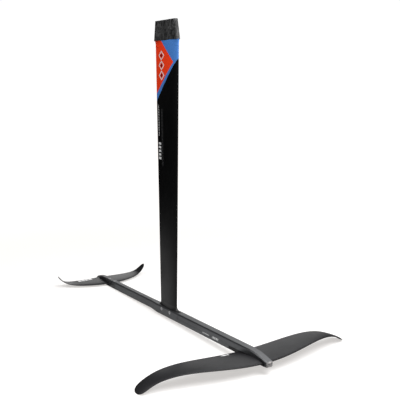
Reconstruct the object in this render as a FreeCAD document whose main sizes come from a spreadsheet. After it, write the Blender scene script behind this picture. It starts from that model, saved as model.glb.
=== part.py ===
"""Hydrofoil: carbon mast, aluminium fuselage, front wing and tail wing, bolted together.

Millimetres. +Z is up the mast, -Y is the way the foil travels and X = 0 is the plane of symmetry.
The origin is the middle of the mast head's base, where the mast meets the board.
"""
import FreeCAD, Part
import Sketcher
import math
import os

os.makedirs("parts", exist_ok=True)
doc = FreeCAD.newDocument("hydrofoil")

# ---------------------------------------------------------------- driving dimensions

DRIVING_SIZES = [
    ("mast_length", 950, "board down to the top of the fuselage"),
    ("mast_bottom_chord", 108, "mast nose to tail at the fuselage"),
    ("mast_top_chord", 151.5, "mast nose to tail at the board"),
    ("mast_bottom_thickness", 15, "thickest place at the fuselage"),
    ("mast_top_thickness", 15.5, "thickest place at the board"),
    ("mast_tail_edge", 1.2, "thickness of the mast's trailing edge"),
    ("mast_wall", 3, "laminate over the foam core"),
    ("mast_core_front_wall", 8, "solid laminate ahead of the foam core"),
    ("mast_core_rear_wall", 30, "solid laminate behind the foam core"),
    ("mast_core_end_wall", 4, "solid laminate between the core and a bonded spigot"),
    ("mast_flare_height", 23, "height of the flare under the head"),
    ("head_lip", 1.2, "head base stands out this far past the mast's flare"),
    ("head_height", 67.5, "base to top of the tapered head"),
    ("head_base_chord", 157.5, "length of the head's base"),
    ("head_top_chord", 136, "length of the head's top"),
    ("head_base_thickness", 16.5, "width of the head's base"),
    ("head_top_thickness", 14, "width of the head's top"),
    ("head_base_shift", 1.2, "middle of the base behind the mast's axis"),
    ("head_top_shift", 3.8, "middle of the top behind the mast's axis"),
    ("head_bolt_spacing", 85, "between the two board bolts"),
    ("head_nut_height", 38, "barrel nut axis above the head's base"),
    ("head_nut_radius", 7.95, "outside of a barrel nut"),
    ("head_nut_length", 13.5, "barrel nut end to end"),
    ("head_nut_thread", 3.4, "core radius of the M8 thread"),
    ("head_nut_slot_width", 1.6, "screwdriver slot in the nut's end"),
    ("head_nut_slot_depth", 1.5, "screwdriver slot in the nut's end"),
    ("head_bolt_hole", 4.5, "M8 clearance hole"),
    ("head_bolt_relief", 12, "hole goes on this far below the nut"),
    ("turning_clearance", 0.05, "radial, nut in its bore"),
    ("spigot_chord", 62, "bonded tongue inside each end of the mast"),
    ("spigot_thickness", 7, "bonded tongue inside each end of the mast"),
    ("spigot_depth", 60, "bonded tongue inside each end of the mast"),
    ("bond_gap", 0.1, "glue line around anything bonded in"),
    ("foot_flare_height", 16, "height of the fillet at the mast's foot"),
    ("foot_flare_front", 29, "fillet ahead of the mast's nose"),
    ("foot_flare_rear", 10, "fillet behind the mast's tail"),
    ("foot_flare_side", 3, "fillet beside the mast"),
    ("tenon_chord", 104, "foot's tenon in the fuselage, end to end"),
    ("tenon_width", 15, "foot's tenon in the fuselage, side to side"),
    ("tenon_depth", 22, "foot's tenon below the top of the fuselage"),
    ("tenon_clearance", 0.1, "around the tenon in its socket"),
    ("mast_bolt_spacing", 80, "between the two M8 bolts up into the foot"),
    ("side_screw_spacing", 56, "between the two M6 screws through the side"),
    ("side_screw_drop", 10, "screw axis below the top of the fuselage"),
    ("nose_y", -582, "tip of the fuselage's nose"),
    ("tail_end_y", 494, "aluminium ends here"),
    ("nose_length", 98, "curved stretch of the nose"),
    ("nose_tip_radius", 9, "nose tip seen from the side"),
    ("nose_plan_radius", 14, "nose tip seen from above"),
    ("nose_tip_width", 24, "width where the nose's round tip starts"),
    ("front_width", 30, "fuselage from the nose to behind the mast"),
    ("front_height", 33, "fuselage from the nose to behind the mast"),
    ("rear_width", 24.5, "fuselage from behind the mast to the tail"),
    ("rear_height", 30, "fuselage from behind the mast to the tail"),
    ("taper_start_y", 66, "front section ends behind the mast"),
    ("taper_end_y", 112, "rear section starts"),
    ("top_chamfer", 4, "along the fuselage's upper edges"),
    ("bottom_chamfer", 3, "along the fuselage's lower edges"),
    ("recess_front_y", -428, "shallow recess in the side"),
    ("recess_rear_y", -82, "shallow recess in the side"),
    ("recess_top", 7.5, "recess's upper edge below the top"),
    ("recess_bottom", 20, "recess's lower edge below the top"),
    ("recess_depth", 0.8, "into each side"),
    ("front_seat_front_y", -566, "step where the front wing's seat starts"),
    ("front_seat_rear_y", -390, "step where the front wing's seat ends"),
    ("front_seat_rise", 17.5, "front end of the seat above the bottom of the fuselage"),
    ("front_incidence", 1.6, "degrees, front wing's nose up"),
    ("seat_clearance", 0.1, "between a wing's root and the ends of its seat"),
    ("front_span", 786, "tip to tip"),
    ("front_root_chord", 128.7, "on the centre line"),
    ("front_root_thickness", 13.5, "on the centre line"),
    ("front_tip_thickness_share", 0.085, "thickness over chord near the tip"),
    ("front_camber", 1.5, "on the centre line"),
    ("front_nose_gap", 4, "root's nose behind the front of the seat"),
    ("front_sweep_square", 107, "nose line's sweep at the tip, times share squared"),
    ("front_sweep_fourth", -27.4, "nose line's sweep at the tip, times share to the fourth"),
    ("front_sweep_eighth", -13.9, "nose line's sweep at the tip, times share to the eighth"),
    ("front_taper_square", -0.9, "chord's change at the tip, times share squared"),
    ("front_taper_fourth", 0.27, "chord's change at the tip, times share to the fourth"),
    ("front_rise_square", 55, "gull rise at the tip, times share squared"),
    ("front_rise_fourth", -76.2, "gull rise at the tip, times share to the fourth"),
    ("front_rise_eighth", -10.9, "gull rise at the tip, times share to the eighth"),
    ("front_tip_round", 16, "span over which the tip is rounded off"),
    ("front_skin", 2, "laminate over the foam cores"),
    ("front_core_front_wall", 7, "solid laminate ahead of the cores"),
    ("front_core_rear_wall", 24, "solid laminate behind the cores"),
    ("front_core_span", 600, "end to end over both foam cores"),
    ("root_block_width", 64, "solid block between the foam cores"),
    ("front_bolt_pitch", 58, "between the three M8 bolts"),
    ("front_bolt_start", 26, "first bolt behind the front of the seat"),
    ("cup_radius", 10, "conical washer under a front wing bolt"),
    ("cup_height", 5.2, "conical washer under a front wing bolt"),
    ("tail_seat_front_y", 405, "step where the tail wing's seat starts"),
    ("tail_seat_drop", 12, "aluminium over the tail wing's seat"),
    ("tail_shim_front", 1, "wedge under the tail wing's seat, front end"),
    ("tail_shim_rear", 1.8, "wedge under the tail wing's seat, rear end"),
    ("tail_span", 400, "tip to tip"),
    ("tail_root_chord", 91.3, "on the centre line"),
    ("tail_root_thickness", 7.4, "on the centre line"),
    ("tail_tip_thickness_share", 0.085, "thickness over chord near the tip"),
    ("tail_nose_y", 468.8, "root's nose"),
    ("tail_nose_drop", 19.6, "root's nose below the top of the fuselage"),
    ("tail_edge_rise", 8.5, "root's trailing edge above its nose"),
    ("tail_camber", -0.8, "on the centre line, so it lifts downwards"),
    ("tail_sweep_square", 82, "nose line's sweep at the tip, times share squared"),
    ("tail_sweep_fourth", 1.3, "nose line's sweep at the tip, times share to the fourth"),
    ("tail_sweep_eighth", -20, "nose line's sweep at the tip, times share to the eighth"),
    ("tail_taper_square", -0.68, "chord's change at the tip, times share squared"),
    ("tail_taper_fourth", -0.02, "chord's change at the tip, times share to the fourth"),
    ("tail_rise_square", 7.3, "rise at the tip, times share squared"),
    ("tail_rise_fourth", -10.5, "rise at the tip, times share to the fourth"),
    ("tail_rise_eighth", 44.3, "rise at the tip, times share to the eighth"),
    ("tail_tip_round", 12, "span over which the tip is rounded off"),
    ("cone_end_y", 595, "tip of the moulded tail cone"),
    ("cone_top_fall", 18, "fall of the cone's upper line"),
    ("cone_bottom_rise", 5, "rise of the cone's lower line"),
    ("cone_end_width", 11, "width of the cone's tip"),
    ("tail_screw_front_y", 432, "front M6 screw"),
    ("tail_screw_rear_y", 477, "rear M6 screw"),
    ("wing_tail_edge", 0.9, "thickness of a wing's trailing edge"),
    ("bolt_radius", 4, "M8"),
    ("bolt_head_radius", 8, "M8 countersunk head"),
    ("bolt_head_height", 4.5, "M8 countersunk head"),
    ("bolt_socket", 2.5, "half the width of the M8 hexagon socket"),
    ("bolt_socket_depth", 3.6, "M8 hexagon socket"),
    ("screw_radius", 3, "M6"),
    ("screw_head_radius", 6, "M6 countersunk head"),
    ("screw_head_height", 3.4, "M6 countersunk head"),
    ("screw_socket", 2, "half the width of the M6 hexagon socket"),
    ("screw_socket_depth", 2.72, "M6 hexagon socket"),
    ("thread_clearance", 0.05, "radial, between a thread's crests"),
    ("pass_clearance", 0.4, "radial, around a bolt that passes through"),
    ("head_sink", 0.2, "screw head below the surface"),
    ("insert_wall", 1.5, "threaded insert"),
    ("bolt_end_gap", 0.5, "screws stop short of the end of their insert"),
    ("mast_insert_length", 18, "upright inserts in the mast's foot"),
    ("side_insert_length", 12, "crosswise inserts in the mast's foot"),
    ("front_insert_length", 7.5, "inserts over the front wing"),
    ("cut_entry", 2, "a cut starts this far outside the face it enters"),
    ("tail_insert_length", 12, "inserts in the tail wing"),
]

sheet = doc.addObject("Spreadsheet::Sheet", "sizes")
for row, (alias, value, meaning) in enumerate(DRIVING_SIZES, start=1):
    sheet.set(f"A{row}", meaning)
    sheet.set(f"B{row}", str(value))
    sheet.setAlias(f"B{row}", alias)
doc.recompute()


def size(name):
    """A driving dimension as a plain number."""
    return float(sheet.get(name))


def formula(text):
    """Puts the sheet's name before each driving dimension in a formula."""
    words = []
    word = ""
    for letter in text + " ":
        if letter.isalnum() or letter == "_":
            word += letter
            continue
        words.append("sizes." + word if word in ALIASES else word)
        words.append(letter)
        word = ""
    return "".join(words).strip()


ALIASES = {alias for alias, _, _ in DRIVING_SIZES}


probe = doc.addObject("App::FeaturePython", "probe")
probe.addProperty("App::PropertyFloat", "Reading")


def number(text):
    """What a formula comes to with the driving dimensions as they are."""
    probe.setExpression("Reading", formula(text))
    probe.recompute()
    return probe.Reading


def bind(thing, **formulas):
    """Ties properties to the sheet; Placement parts are written Base_x, Base_y and Base_z."""
    for name, text in formulas.items():
        path = "Placement.Base." + name[-1] if name.startswith("Base_") else name
        thing.setExpression(path, formula(text))


# ---------------------------------------------------------------- sketches and bodies


def new_body(name):
    """An empty piece, to be built up feature by feature."""
    return doc.addObject("PartDesign::Body", name)


def new_sketch(body, name, plane, lift="0"):
    """A sketch on one of the body's own origin planes, lifted along that plane's normal."""
    sketch = body.newObject("Sketcher::SketchObject", name)
    support = next(item for item in body.Origin.OriginFeatures if item.Role == plane)
    sketch.AttachmentSupport = (support, [""])
    sketch.MapMode = "FlatFace"
    sketch.setExpression("AttachmentOffset.Base.z", formula(lift))
    return sketch


def pin_point(sketch, element, point, texts):
    """Holds one point of a sketch at the two formulas' distances from its origin."""
    for kind, text in zip(("DistanceX", "DistanceY"), texts):
        if text is None:
            continue
        value = number(text)
        index = sketch.addConstraint(Sketcher.Constraint(kind, -1, 1, element, point, value))
        sketch.setExpression(f"Constraints[{index}]", formula(text))


def draw_outline(sketch, corners, centres=None):
    """A closed outline, counterclockwise; side k is an arc if centres[k] gives its centre."""
    centres = centres or {}
    first = sketch.GeometryCount
    count = len(corners)
    places = []
    for texts in corners:
        values = [number(text) for text in texts]
        places.append(FreeCAD.Vector(values[0], values[1], 0))
    for k in range(count):
        start = places[k]
        end = places[(k + 1) % count]
        if k not in centres:
            sketch.addGeometry(Part.LineSegment(start, end), False)
            continue
        values = [number(text) for text in centres[k]]
        centre = FreeCAD.Vector(values[0], values[1], 0)
        begin = math.atan2(start.y - centre.y, start.x - centre.x)
        finish = math.atan2(end.y - centre.y, end.x - centre.x)
        if finish < begin:
            finish += 2 * math.pi
        circle = Part.Circle(centre, FreeCAD.Vector(0, 0, 1), start.distanceToPoint(centre))
        sketch.addGeometry(Part.ArcOfCircle(circle, begin, finish), False)
    for k in range(count):
        side = first + k
        sketch.addConstraint(Sketcher.Constraint("Coincident", side, 2, first + (k + 1) % count, 1))
        pin_point(sketch, side, 1, corners[k])
        if k in centres:
            step = places[(k + 1) % count] - places[k]
            held = (None, centres[k][1]) if abs(step.x) >= abs(step.y) else (centres[k][0], None)
            pin_point(sketch, side, 3, held)


def draw_circle(sketch, centre, radius):
    """A circle at the two formulas' place."""
    values = [number(text) for text in (*centre, radius)]
    spot = FreeCAD.Vector(values[0], values[1], 0)
    side = sketch.addGeometry(Part.Circle(spot, FreeCAD.Vector(0, 0, 1), values[2]), False)
    pin_point(sketch, side, 3, centre)
    index = sketch.addConstraint(Sketcher.Constraint("Radius", side, values[2]))
    sketch.setExpression(f"Constraints[{index}]", formula(radius))


def draw_slot(sketch, chord, width, shift="0"):
    """A slot with round ends, long in the sketch's second direction."""
    half = f"({width}) / 2"
    reach = f"(({chord}) - ({width})) / 2"
    corners = [
        (half, f"{shift} - {reach}"),
        (half, f"{shift} + {reach}"),
        (f"-{half}", f"{shift} + {reach}"),
        (f"-{half}", f"{shift} - {reach}"),
    ]
    draw_outline(sketch, corners, {1: ("0", f"{shift} + {reach}"), 3: ("0", f"{shift} - {reach}")})


def add_pad(body, sketch, length, both_sides=False, backwards=False):
    """Material along the sketch's normal."""
    pad = body.newObject("PartDesign::Pad", sketch.Name + "_pad")
    pad.Profile = sketch
    pad.SideType = "Symmetric" if both_sides else "One side"
    pad.Reversed = backwards
    pad.setExpression("Length", formula(length))
    doc.recompute()
    return pad


def add_pocket(body, sketch, length=None, backwards=False):
    """A cut along the sketch's normal, through everything both ways if it has no length."""
    before = body.Tip.Shape.Volume
    pocket = body.newObject("PartDesign::Pocket", sketch.Name + "_pocket")
    pocket.Profile = sketch
    if length is None:
        pocket.Type = "ThroughAll"
        pocket.SideType = "Symmetric"
    else:
        pocket.Reversed = backwards
        pocket.setExpression("Length", formula(length))
    doc.recompute()
    if pocket.Shape.Volume >= before:
        raise RuntimeError(f"{pocket.Name} removes nothing")
    return pocket


def add_spin(body, sketch):
    """A full turn about the sketch's upright axis."""
    spin = body.newObject("PartDesign::Revolution", sketch.Name + "_spin")
    spin.Profile = sketch
    spin.ReferenceAxis = (sketch, ["V_Axis"])
    spin.Angle = 360
    doc.recompute()
    return spin


def long_edges(shape, upper):
    """Names of a bar's long edges, either the upper or the lower ones."""
    box = shape.BoundBox
    names = []
    for index, edge in enumerate(shape.Edges, start=1):
        ends = [vertex.Point for vertex in edge.Vertexes]
        if len(ends) < 2 or abs(ends[0].y - ends[1].y) < box.XLength:
            continue
        middle = (ends[0].z + ends[1].z) / 2
        if (middle > box.Center.z) == upper:
            names.append(f"Edge{index}")
    return names


def add_chamfer(body, edges, chamfer):
    """A flat bevel along some of the body's edges."""
    last = body.Tip
    bevel = body.newObject("PartDesign::Chamfer", f"{body.Name}_{chamfer}")
    bevel.Base = (last, edges)
    bevel.setExpression("Size", formula(chamfer))
    doc.recompute()
    return bevel


# ---------------------------------------------------------------- booleans and groups


def cut_from(name, base, tools):
    """The base with every tool taken out of it."""
    tool = tools[0]
    if len(tools) > 1:
        tool = doc.addObject("Part::MultiFuse", name + "_tools")
        tool.Shapes = tools
    result = doc.addObject("Part::Cut", name)
    result.Base = base
    result.Tool = tool
    return result


def join(name, parts):
    """Pieces moulded or machined as one."""
    result = doc.addObject("Part::MultiFuse", name)
    result.Shapes = parts
    return result


def group(name, pieces):
    """Like pieces kept as separate solids of one sub-part."""
    result = doc.addObject("Part::Compound", name)
    result.Links = pieces
    return result


def upright_rod(name, radius, bottom, top, x="0", y="0"):
    """A cylinder along Z between two heights."""
    rod = doc.addObject("Part::Cylinder", name)
    bind(rod, Radius=radius, Height=f"({top}) - ({bottom})", Base_x=x, Base_y=y, Base_z=bottom)
    return rod


def block(name, low, high):
    """A box between two corners, each given as three formulas."""
    box = doc.addObject("Part::Box", name)
    bind(box, Length=f"({high[0]}) - ({low[0]})", Base_x=low[0])
    bind(box, Width=f"({high[1]}) - ({low[1]})", Base_y=low[1])
    bind(box, Height=f"({high[2]}) - ({low[2]})", Base_z=low[2])
    return box


def shaped(name, shape):
    """A free-form piece, lofted between sections."""
    piece = doc.addObject("Part::Feature", name)
    piece.Shape = shape
    return piece


# ---------------------------------------------------------------- foil sections

# Half the thickness of a foil section one unit thick, in powers of the share of the chord.
FOIL_ROOT_TERM = 1.4845
FOIL_TERMS = (-0.63, -1.758, 1.4215, -0.5075)
SECTION_STEPS = 14


def foil_half(share):
    """Half thickness of a section one unit thick, at a share of the chord."""
    total = FOIL_ROOT_TERM * math.sqrt(share)
    for power, term in enumerate(FOIL_TERMS, start=1):
        total += term * share ** power
    return total


def slot_half(along, chord, thickness):
    """Half thickness of a slot with round ends, at a distance along it."""
    radius = thickness / 2
    inset = radius - min(along, chord - along)
    return math.sqrt(radius ** 2 - inset ** 2) if inset > 0 else radius


def section_wire(chord, half, camber, place):
    """A closed section: one curve from the tail round the nose, and a straight trailing edge."""
    upper = []
    lower = []
    for step in range(SECTION_STEPS + 1):
        share = (1 - math.cos(math.pi * step / SECTION_STEPS)) / 2
        middle = 4 * camber * share * (1 - share)
        upper.append(place(share * chord, middle + half(share)))
        lower.append(place(share * chord, middle - half(share)))
    points = list(reversed(upper)) + lower[1:]
    curve = Part.BSplineCurve()
    curve.interpolate(points)
    return Part.Wire([curve.toShape(), Part.LineSegment(points[-1], points[0]).toShape()])


# ---------------------------------------------------------------- the mast

def mast_section(height, front, rear, half):
    """A level section of the mast, front and rear measured from its axis."""
    def place(along, across):
        return FreeCAD.Vector(across, along - front, height)
    return section_wire(front + rear, half, 0, place)


def mast_share(height):
    """0 at the fuselage and 1 at the board."""
    return 1 + height / size("mast_length")


def mast_chord(height):
    share = mast_share(height)
    return (1 - share) * size("mast_bottom_chord") + share * size("mast_top_chord")


def mast_thickness(height):
    share = mast_share(height)
    return (1 - share) * size("mast_bottom_thickness") + share * size("mast_top_thickness")


def plain_mast_section(height):
    """The mast's foil section between its two flares."""
    reach = mast_chord(height) / 2
    thickness = mast_thickness(height)
    edge = size("mast_tail_edge") / 2
    return mast_section(height, reach, reach, lambda s: thickness * foil_half(s) + edge * s)


def flare_growth(share):
    """A quarter circle's rise: level at the start and upright at the end."""
    return 1 - math.sqrt(1 - share ** 2)


def head_flare_section(share):
    """The mast widening to the head's base, 0 at the flare's start and 1 at the board."""
    height = size("mast_flare_height") * (share - 1)
    grown = flare_growth(share)
    reach = mast_chord(height) / 2
    lip = size("head_lip")
    base_front = size("head_base_chord") / 2 - size("head_base_shift") - lip
    base_rear = size("head_base_chord") / 2 + size("head_base_shift") - lip
    front = reach + grown * (base_front - reach)
    rear = reach + grown * (base_rear - reach)
    chord = front + rear
    thickness = mast_thickness(height)
    base_thickness = size("head_base_thickness") - 2 * lip
    edge = size("mast_tail_edge") / 2

    def half(s):
        foil = thickness * foil_half(s) + edge * s
        slot = max(slot_half(s * chord, chord, base_thickness), edge * s)
        return (1 - grown) * foil + grown * slot
    return mast_section(height, front, rear, half)


def foot_flare_section(share):
    """The fillet at the foot, 0 at its top and 1 on the fuselage."""
    height = size("foot_flare_height") * (1 - share) - size("mast_length")
    grown = flare_growth(share)
    reach = mast_chord(height) / 2
    front = reach + grown * size("foot_flare_front")
    rear = reach + grown * size("foot_flare_rear")
    thickness = mast_thickness(height) + 2 * grown * size("foot_flare_side")
    edge = size("mast_tail_edge") / 2 + grown * size("foot_flare_side")
    return mast_section(height, front, rear, lambda s: thickness * foil_half(s) + edge * s)


def core_section(height, gap):
    """The foam core's section, or its cavity where the gap is nothing."""
    reach = mast_chord(height) / 2
    front = reach - size("mast_core_front_wall") - gap
    rear = reach - size("mast_core_rear_wall") - gap
    thickness = mast_thickness(height) - 2 * size("mast_wall") - 2 * gap
    edge = size("mast_tail_edge") / 4
    return mast_section(height, front, rear, lambda s: thickness * foil_half(s) + edge * s)


FLARE_SHARES = (0, 0.35, 0.6, 0.8, 0.93, 1)
foot_top = size("foot_flare_height") - size("mast_length")
flare_start = -size("mast_flare_height")
core_bottom = foot_top + size("spigot_depth") + size("mast_core_end_wall")
core_top = -size("spigot_depth") - size("mast_core_end_wall")


def make_mast_outside():
    """The mast from the top of its foot's fillet to the board."""
    plain = Part.makeLoft([plain_mast_section(foot_top), plain_mast_section(flare_start)], True, True)
    flare = Part.makeLoft([head_flare_section(share) for share in FLARE_SHARES], True, False)
    return plain.fuse(flare).removeSplitter()


def make_core(gap):
    """The space for the foam, or the foam itself with a glue line round it."""
    ends = (core_bottom + gap, core_top - gap)
    return Part.makeLoft([core_section(height, gap) for height in ends], True, True)


def make_spigot(name, base, backwards, gap="0"):
    """A slot-shaped tongue that starts at a height and is bonded inside the mast."""
    body = new_body(name)
    sketch = new_sketch(body, name + "_outline", "XY_Plane", base)
    draw_slot(sketch, f"spigot_chord - 2 * {gap}", f"spigot_thickness - 2 * {gap}")
    add_pad(body, sketch, f"spigot_depth - {gap}", backwards=backwards)
    return body


def make_mast():
    """The hollow laminate and the foam inside it."""
    outside = shaped("mast_outside", make_mast_outside())
    cavity = shaped("mast_cavity", make_core(0))
    foot_pocket = make_spigot("foot_spigot_pocket", "foot_flare_height - mast_length", False)
    head_pocket = make_spigot("head_spigot_pocket", "0", True)
    shell = cut_from("mast_shell", outside, [cavity, foot_pocket, head_pocket])
    core = shaped("mast_core", make_core(size("bond_gap")))
    return [shell, core]


# ---------------------------------------------------------------- the head and its barrel nuts


def make_head():
    """The tapered block that is drawn up into the board's box."""
    body = new_body("mast_head")
    base = new_sketch(body, "head_base", "XY_Plane")
    draw_slot(base, "head_base_chord", "head_base_thickness", "head_base_shift")
    top = new_sketch(body, "head_top", "XY_Plane", "head_height")
    draw_slot(top, "head_top_chord", "head_top_thickness", "head_top_shift")
    taper = body.newObject("PartDesign::AdditiveLoft", "head_taper")
    taper.Profile = base
    taper.Sections = [top]
    taper.Ruled = True
    doc.recompute()
    spigot = new_sketch(body, "head_spigot", "XY_Plane")
    draw_slot(spigot, "spigot_chord - 2 * bond_gap", "spigot_thickness - 2 * bond_gap")
    add_pad(body, spigot, "spigot_depth - bond_gap", backwards=True)
    bores = new_sketch(body, "nut_bores", "YZ_Plane")
    bolts = new_sketch(body, "bolt_holes", "XY_Plane", "head_height")
    for sign in ("-", ""):
        place = f"{sign}head_bolt_spacing / 2"
        draw_circle(bores, (place, "head_nut_height"), "head_nut_radius + turning_clearance")
        draw_circle(bolts, ("0", place), "head_bolt_hole")
    add_pocket(body, bores)
    depth = "head_height - head_nut_height + head_nut_radius + head_bolt_relief"
    add_pocket(body, bolts, depth)
    return body


def make_barrel_nut(name, place):
    """A round bar across the head, drilled and tapped M8, with a slot to line it up."""
    body = new_body(name)
    bar = new_sketch(body, name + "_bar", "YZ_Plane")
    draw_circle(bar, ("0", "0"), "head_nut_radius")
    add_pad(body, bar, "head_nut_length", both_sides=True)
    thread = new_sketch(body, name + "_thread", "XY_Plane")
    draw_circle(thread, ("0", "0"), "head_nut_thread")
    add_pocket(body, thread)
    slot = new_sketch(body, name + "_slot", "XZ_Plane")
    low = "head_nut_length / 2 - head_nut_slot_depth"
    half = "head_nut_slot_width / 2"
    corners = [(low, f"-{half}"), ("head_nut_length", f"-{half}"), ("head_nut_length", half), (low, half)]
    draw_outline(slot, corners)
    add_pocket(body, slot)
    bind(body, Base_y=place, Base_z="head_nut_height")
    return body


# ---------------------------------------------------------------- screws and inserts

HEX_SIDES = 6

def make_screw(name, kind, length, place, turn):
    """A countersunk socket screw, head up at its place, then turned."""
    body = new_body(name)
    profile = new_sketch(body, name + "_profile", "XZ_Plane")
    corners = [
        ("0", f"-({length})"),
        (f"{kind}_radius", f"-({length})"),
        (f"{kind}_radius", f"-{kind}_head_height"),
        (f"{kind}_head_radius", "0"),
        ("0", "0"),
    ]
    draw_outline(profile, corners)
    add_spin(body, profile)
    socket = new_sketch(body, name + "_socket", "XY_Plane")
    hexagon = []
    reach = f"{kind}_socket / {math.cos(math.pi / HEX_SIDES):.6f}"
    for corner in range(HEX_SIDES):
        angle = 2 * math.pi * corner / HEX_SIDES
        hexagon.append((f"{reach} * {math.cos(angle):.6f}", f"{reach} * {math.sin(angle):.6f}"))
    draw_outline(socket, hexagon)
    add_pocket(body, socket, f"{kind}_socket_depth")
    body.Placement.Rotation = turn
    bind(body, Base_x=place[0], Base_y=place[1], Base_z=place[2])
    return body


def make_screw_hole(name, kind, length, place, turn):
    """The countersink and clearance hole of a screw, as a tool to cut with."""
    body = new_body(name)
    profile = new_sketch(body, name + "_profile", "XZ_Plane")
    corners = [
        ("0", f"-({length})"),
        (f"{kind}_radius + pass_clearance", f"-({length})"),
        (f"{kind}_radius + pass_clearance", f"-{kind}_head_height - pass_clearance"),
        (f"{kind}_head_radius + pass_clearance", "-pass_clearance"),
        (f"{kind}_head_radius + pass_clearance", "head_sink + cut_entry"),
        ("0", "head_sink + cut_entry"),
    ]
    draw_outline(profile, corners)
    add_spin(body, profile)
    body.Placement.Rotation = turn
    bind(body, Base_x=place[0], Base_y=place[1], Base_z=place[2])
    return body


def make_insert(name, kind, length, place, turn):
    """A threaded sleeve along +Z from its place, then turned."""
    body = new_body(name)
    ring = new_sketch(body, name + "_ring", "XY_Plane")
    draw_circle(ring, ("0", "0"), f"{kind}_radius + thread_clearance + insert_wall")
    draw_circle(ring, ("0", "0"), f"{kind}_radius + thread_clearance")
    add_pad(body, ring, length)
    body.Placement.Rotation = turn
    bind(body, Base_x=place[0], Base_y=place[1], Base_z=place[2])
    return body


def make_insert_hole(name, kind, length, place, turn):
    """The hole that an insert is bonded into, as a tool to cut with."""
    body = new_body(name)
    ring = new_sketch(body, name + "_ring", "XY_Plane")
    draw_circle(ring, ("0", "0"), f"{kind}_radius + thread_clearance + insert_wall + bond_gap")
    add_pad(body, ring, length)
    body.Placement.Rotation = turn
    bind(body, Base_x=place[0], Base_y=place[1], Base_z=place[2])
    return body


UPRIGHT = FreeCAD.Rotation()
HEAD_DOWN = FreeCAD.Rotation(FreeCAD.Vector(1, 0, 0), 180)
HEAD_TO_MINUS_X = FreeCAD.Rotation(FreeCAD.Vector(0, 1, 0), -90)
POINT_TO_PLUS_X = FreeCAD.Rotation(FreeCAD.Vector(0, 1, 0), 90)


def front_ceiling(place):
    """Height of the front wing's sloping seat at a place along the fuselage, as a formula."""
    start = f"{FUSELAGE_BOTTOM} + front_seat_rise"
    return f"{start} - (({place}) - front_seat_front_y) * tan(front_incidence)"


FUSELAGE_TOP = "-mast_length"
FUSELAGE_BOTTOM = "-mast_length - front_height"
mast_bolt_places = ("-mast_bolt_spacing / 2", "mast_bolt_spacing / 2")
side_screw_places = ("-side_screw_spacing / 2", "side_screw_spacing / 2")
front_bolt_places = [f"front_seat_front_y + front_bolt_start + {k} * front_bolt_pitch" for k in range(3)]
tail_screw_places = ("tail_screw_front_y", "tail_screw_rear_y")


# ---------------------------------------------------------------- the mast's foot


def make_foot():
    """The moulded foot: a fillet on the fuselage, a tenon below it and a spigot in the mast."""
    flare_sections = [foot_flare_section(share) for share in FLARE_SHARES]
    flare = shaped("foot_flare", Part.makeLoft(flare_sections, True, False))
    tenon = new_body("foot_tenon")
    tenon_outline = new_sketch(tenon, "tenon_outline", "XY_Plane", FUSELAGE_TOP)
    draw_slot(tenon_outline, "tenon_chord", "tenon_width")
    add_pad(tenon, tenon_outline, "tenon_depth", backwards=True)
    spigot = make_spigot("foot_spigot", "foot_flare_height - mast_length", False, "bond_gap")
    blank = join("foot_blank", [flare, tenon, spigot])
    holes = []
    length = "mast_insert_length + bond_gap"
    for k, place in enumerate(mast_bolt_places):
        spot = ("0", place, "-mast_length - tenon_depth")
        holes.append(make_insert_hole(f"foot_hole_{k}", "bolt", length, spot, UPRIGHT))
    length = "side_insert_length + bond_gap"
    for k, place in enumerate(side_screw_places):
        spot = ("-tenon_width / 2", place, "-mast_length - side_screw_drop")
        holes.append(make_insert_hole(f"foot_side_hole_{k}", "screw", length, spot, POINT_TO_PLUS_X))
    return cut_from("mast_foot", blank, holes)


def make_foot_fasteners():
    """The foot's upright and crosswise inserts with their bolts and screws."""
    inserts = []
    bolts = []
    bolt_length = "front_height - tenon_depth + mast_insert_length - head_sink - bolt_end_gap"
    for k, place in enumerate(mast_bolt_places):
        spot = ("0", place, "-mast_length - tenon_depth")
        inserts.append(make_insert(f"foot_insert_{k}", "bolt", "mast_insert_length", spot, UPRIGHT))
        spot = ("0", place, "-mast_length - front_height + head_sink")
        bolts.append(make_screw(f"mast_bolt_{k}", "bolt", bolt_length, spot, HEAD_DOWN))
    side_inserts = []
    side_screws = []
    side_wall = "(front_width - tenon_width) / 2"
    screw_length = f"{side_wall} + side_insert_length - head_sink - bolt_end_gap"
    for k, place in enumerate(side_screw_places):
        spot = ("-tenon_width / 2", place, "-mast_length - side_screw_drop")
        side_inserts.append(
            make_insert(f"side_insert_{k}", "screw", "side_insert_length", spot, POINT_TO_PLUS_X))
        spot = ("-front_width / 2 + head_sink", place, "-mast_length - side_screw_drop")
        side_screws.append(
            make_screw(f"side_screw_{k}", "screw", screw_length, spot, HEAD_TO_MINUS_X))
    return [
        group("mast_foot_inserts", inserts),
        group("mast_bottom_bolts", bolts),
        group("mast_side_inserts", side_inserts),
        group("mast_side_screws", side_screws),
    ]


# ---------------------------------------------------------------- the fuselage


NOSE_SHARES = (1, 0.85, 0.7, 0.56, 0.43, 0.32, 0.23, 0.16)
NOSE_ANGLES = (90, 75, 62, 50, 39, 29, 20)


def bar_section(y, half, top, bottom, scale):
    """An eight-sided upright section, its bevels scaled down towards the ends."""
    upper = size("top_chamfer") * scale
    lower = size("bottom_chamfer") * scale
    right = [(half - lower, bottom), (half, bottom + lower), (half, top - upper), (half - upper, top)]
    left = [(-x, z) for x, z in reversed(right)]
    corners = [FreeCAD.Vector(x, y, z - size("mast_length")) for x, z in right + left]
    return Part.makePolygon(corners + corners[:1])


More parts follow.
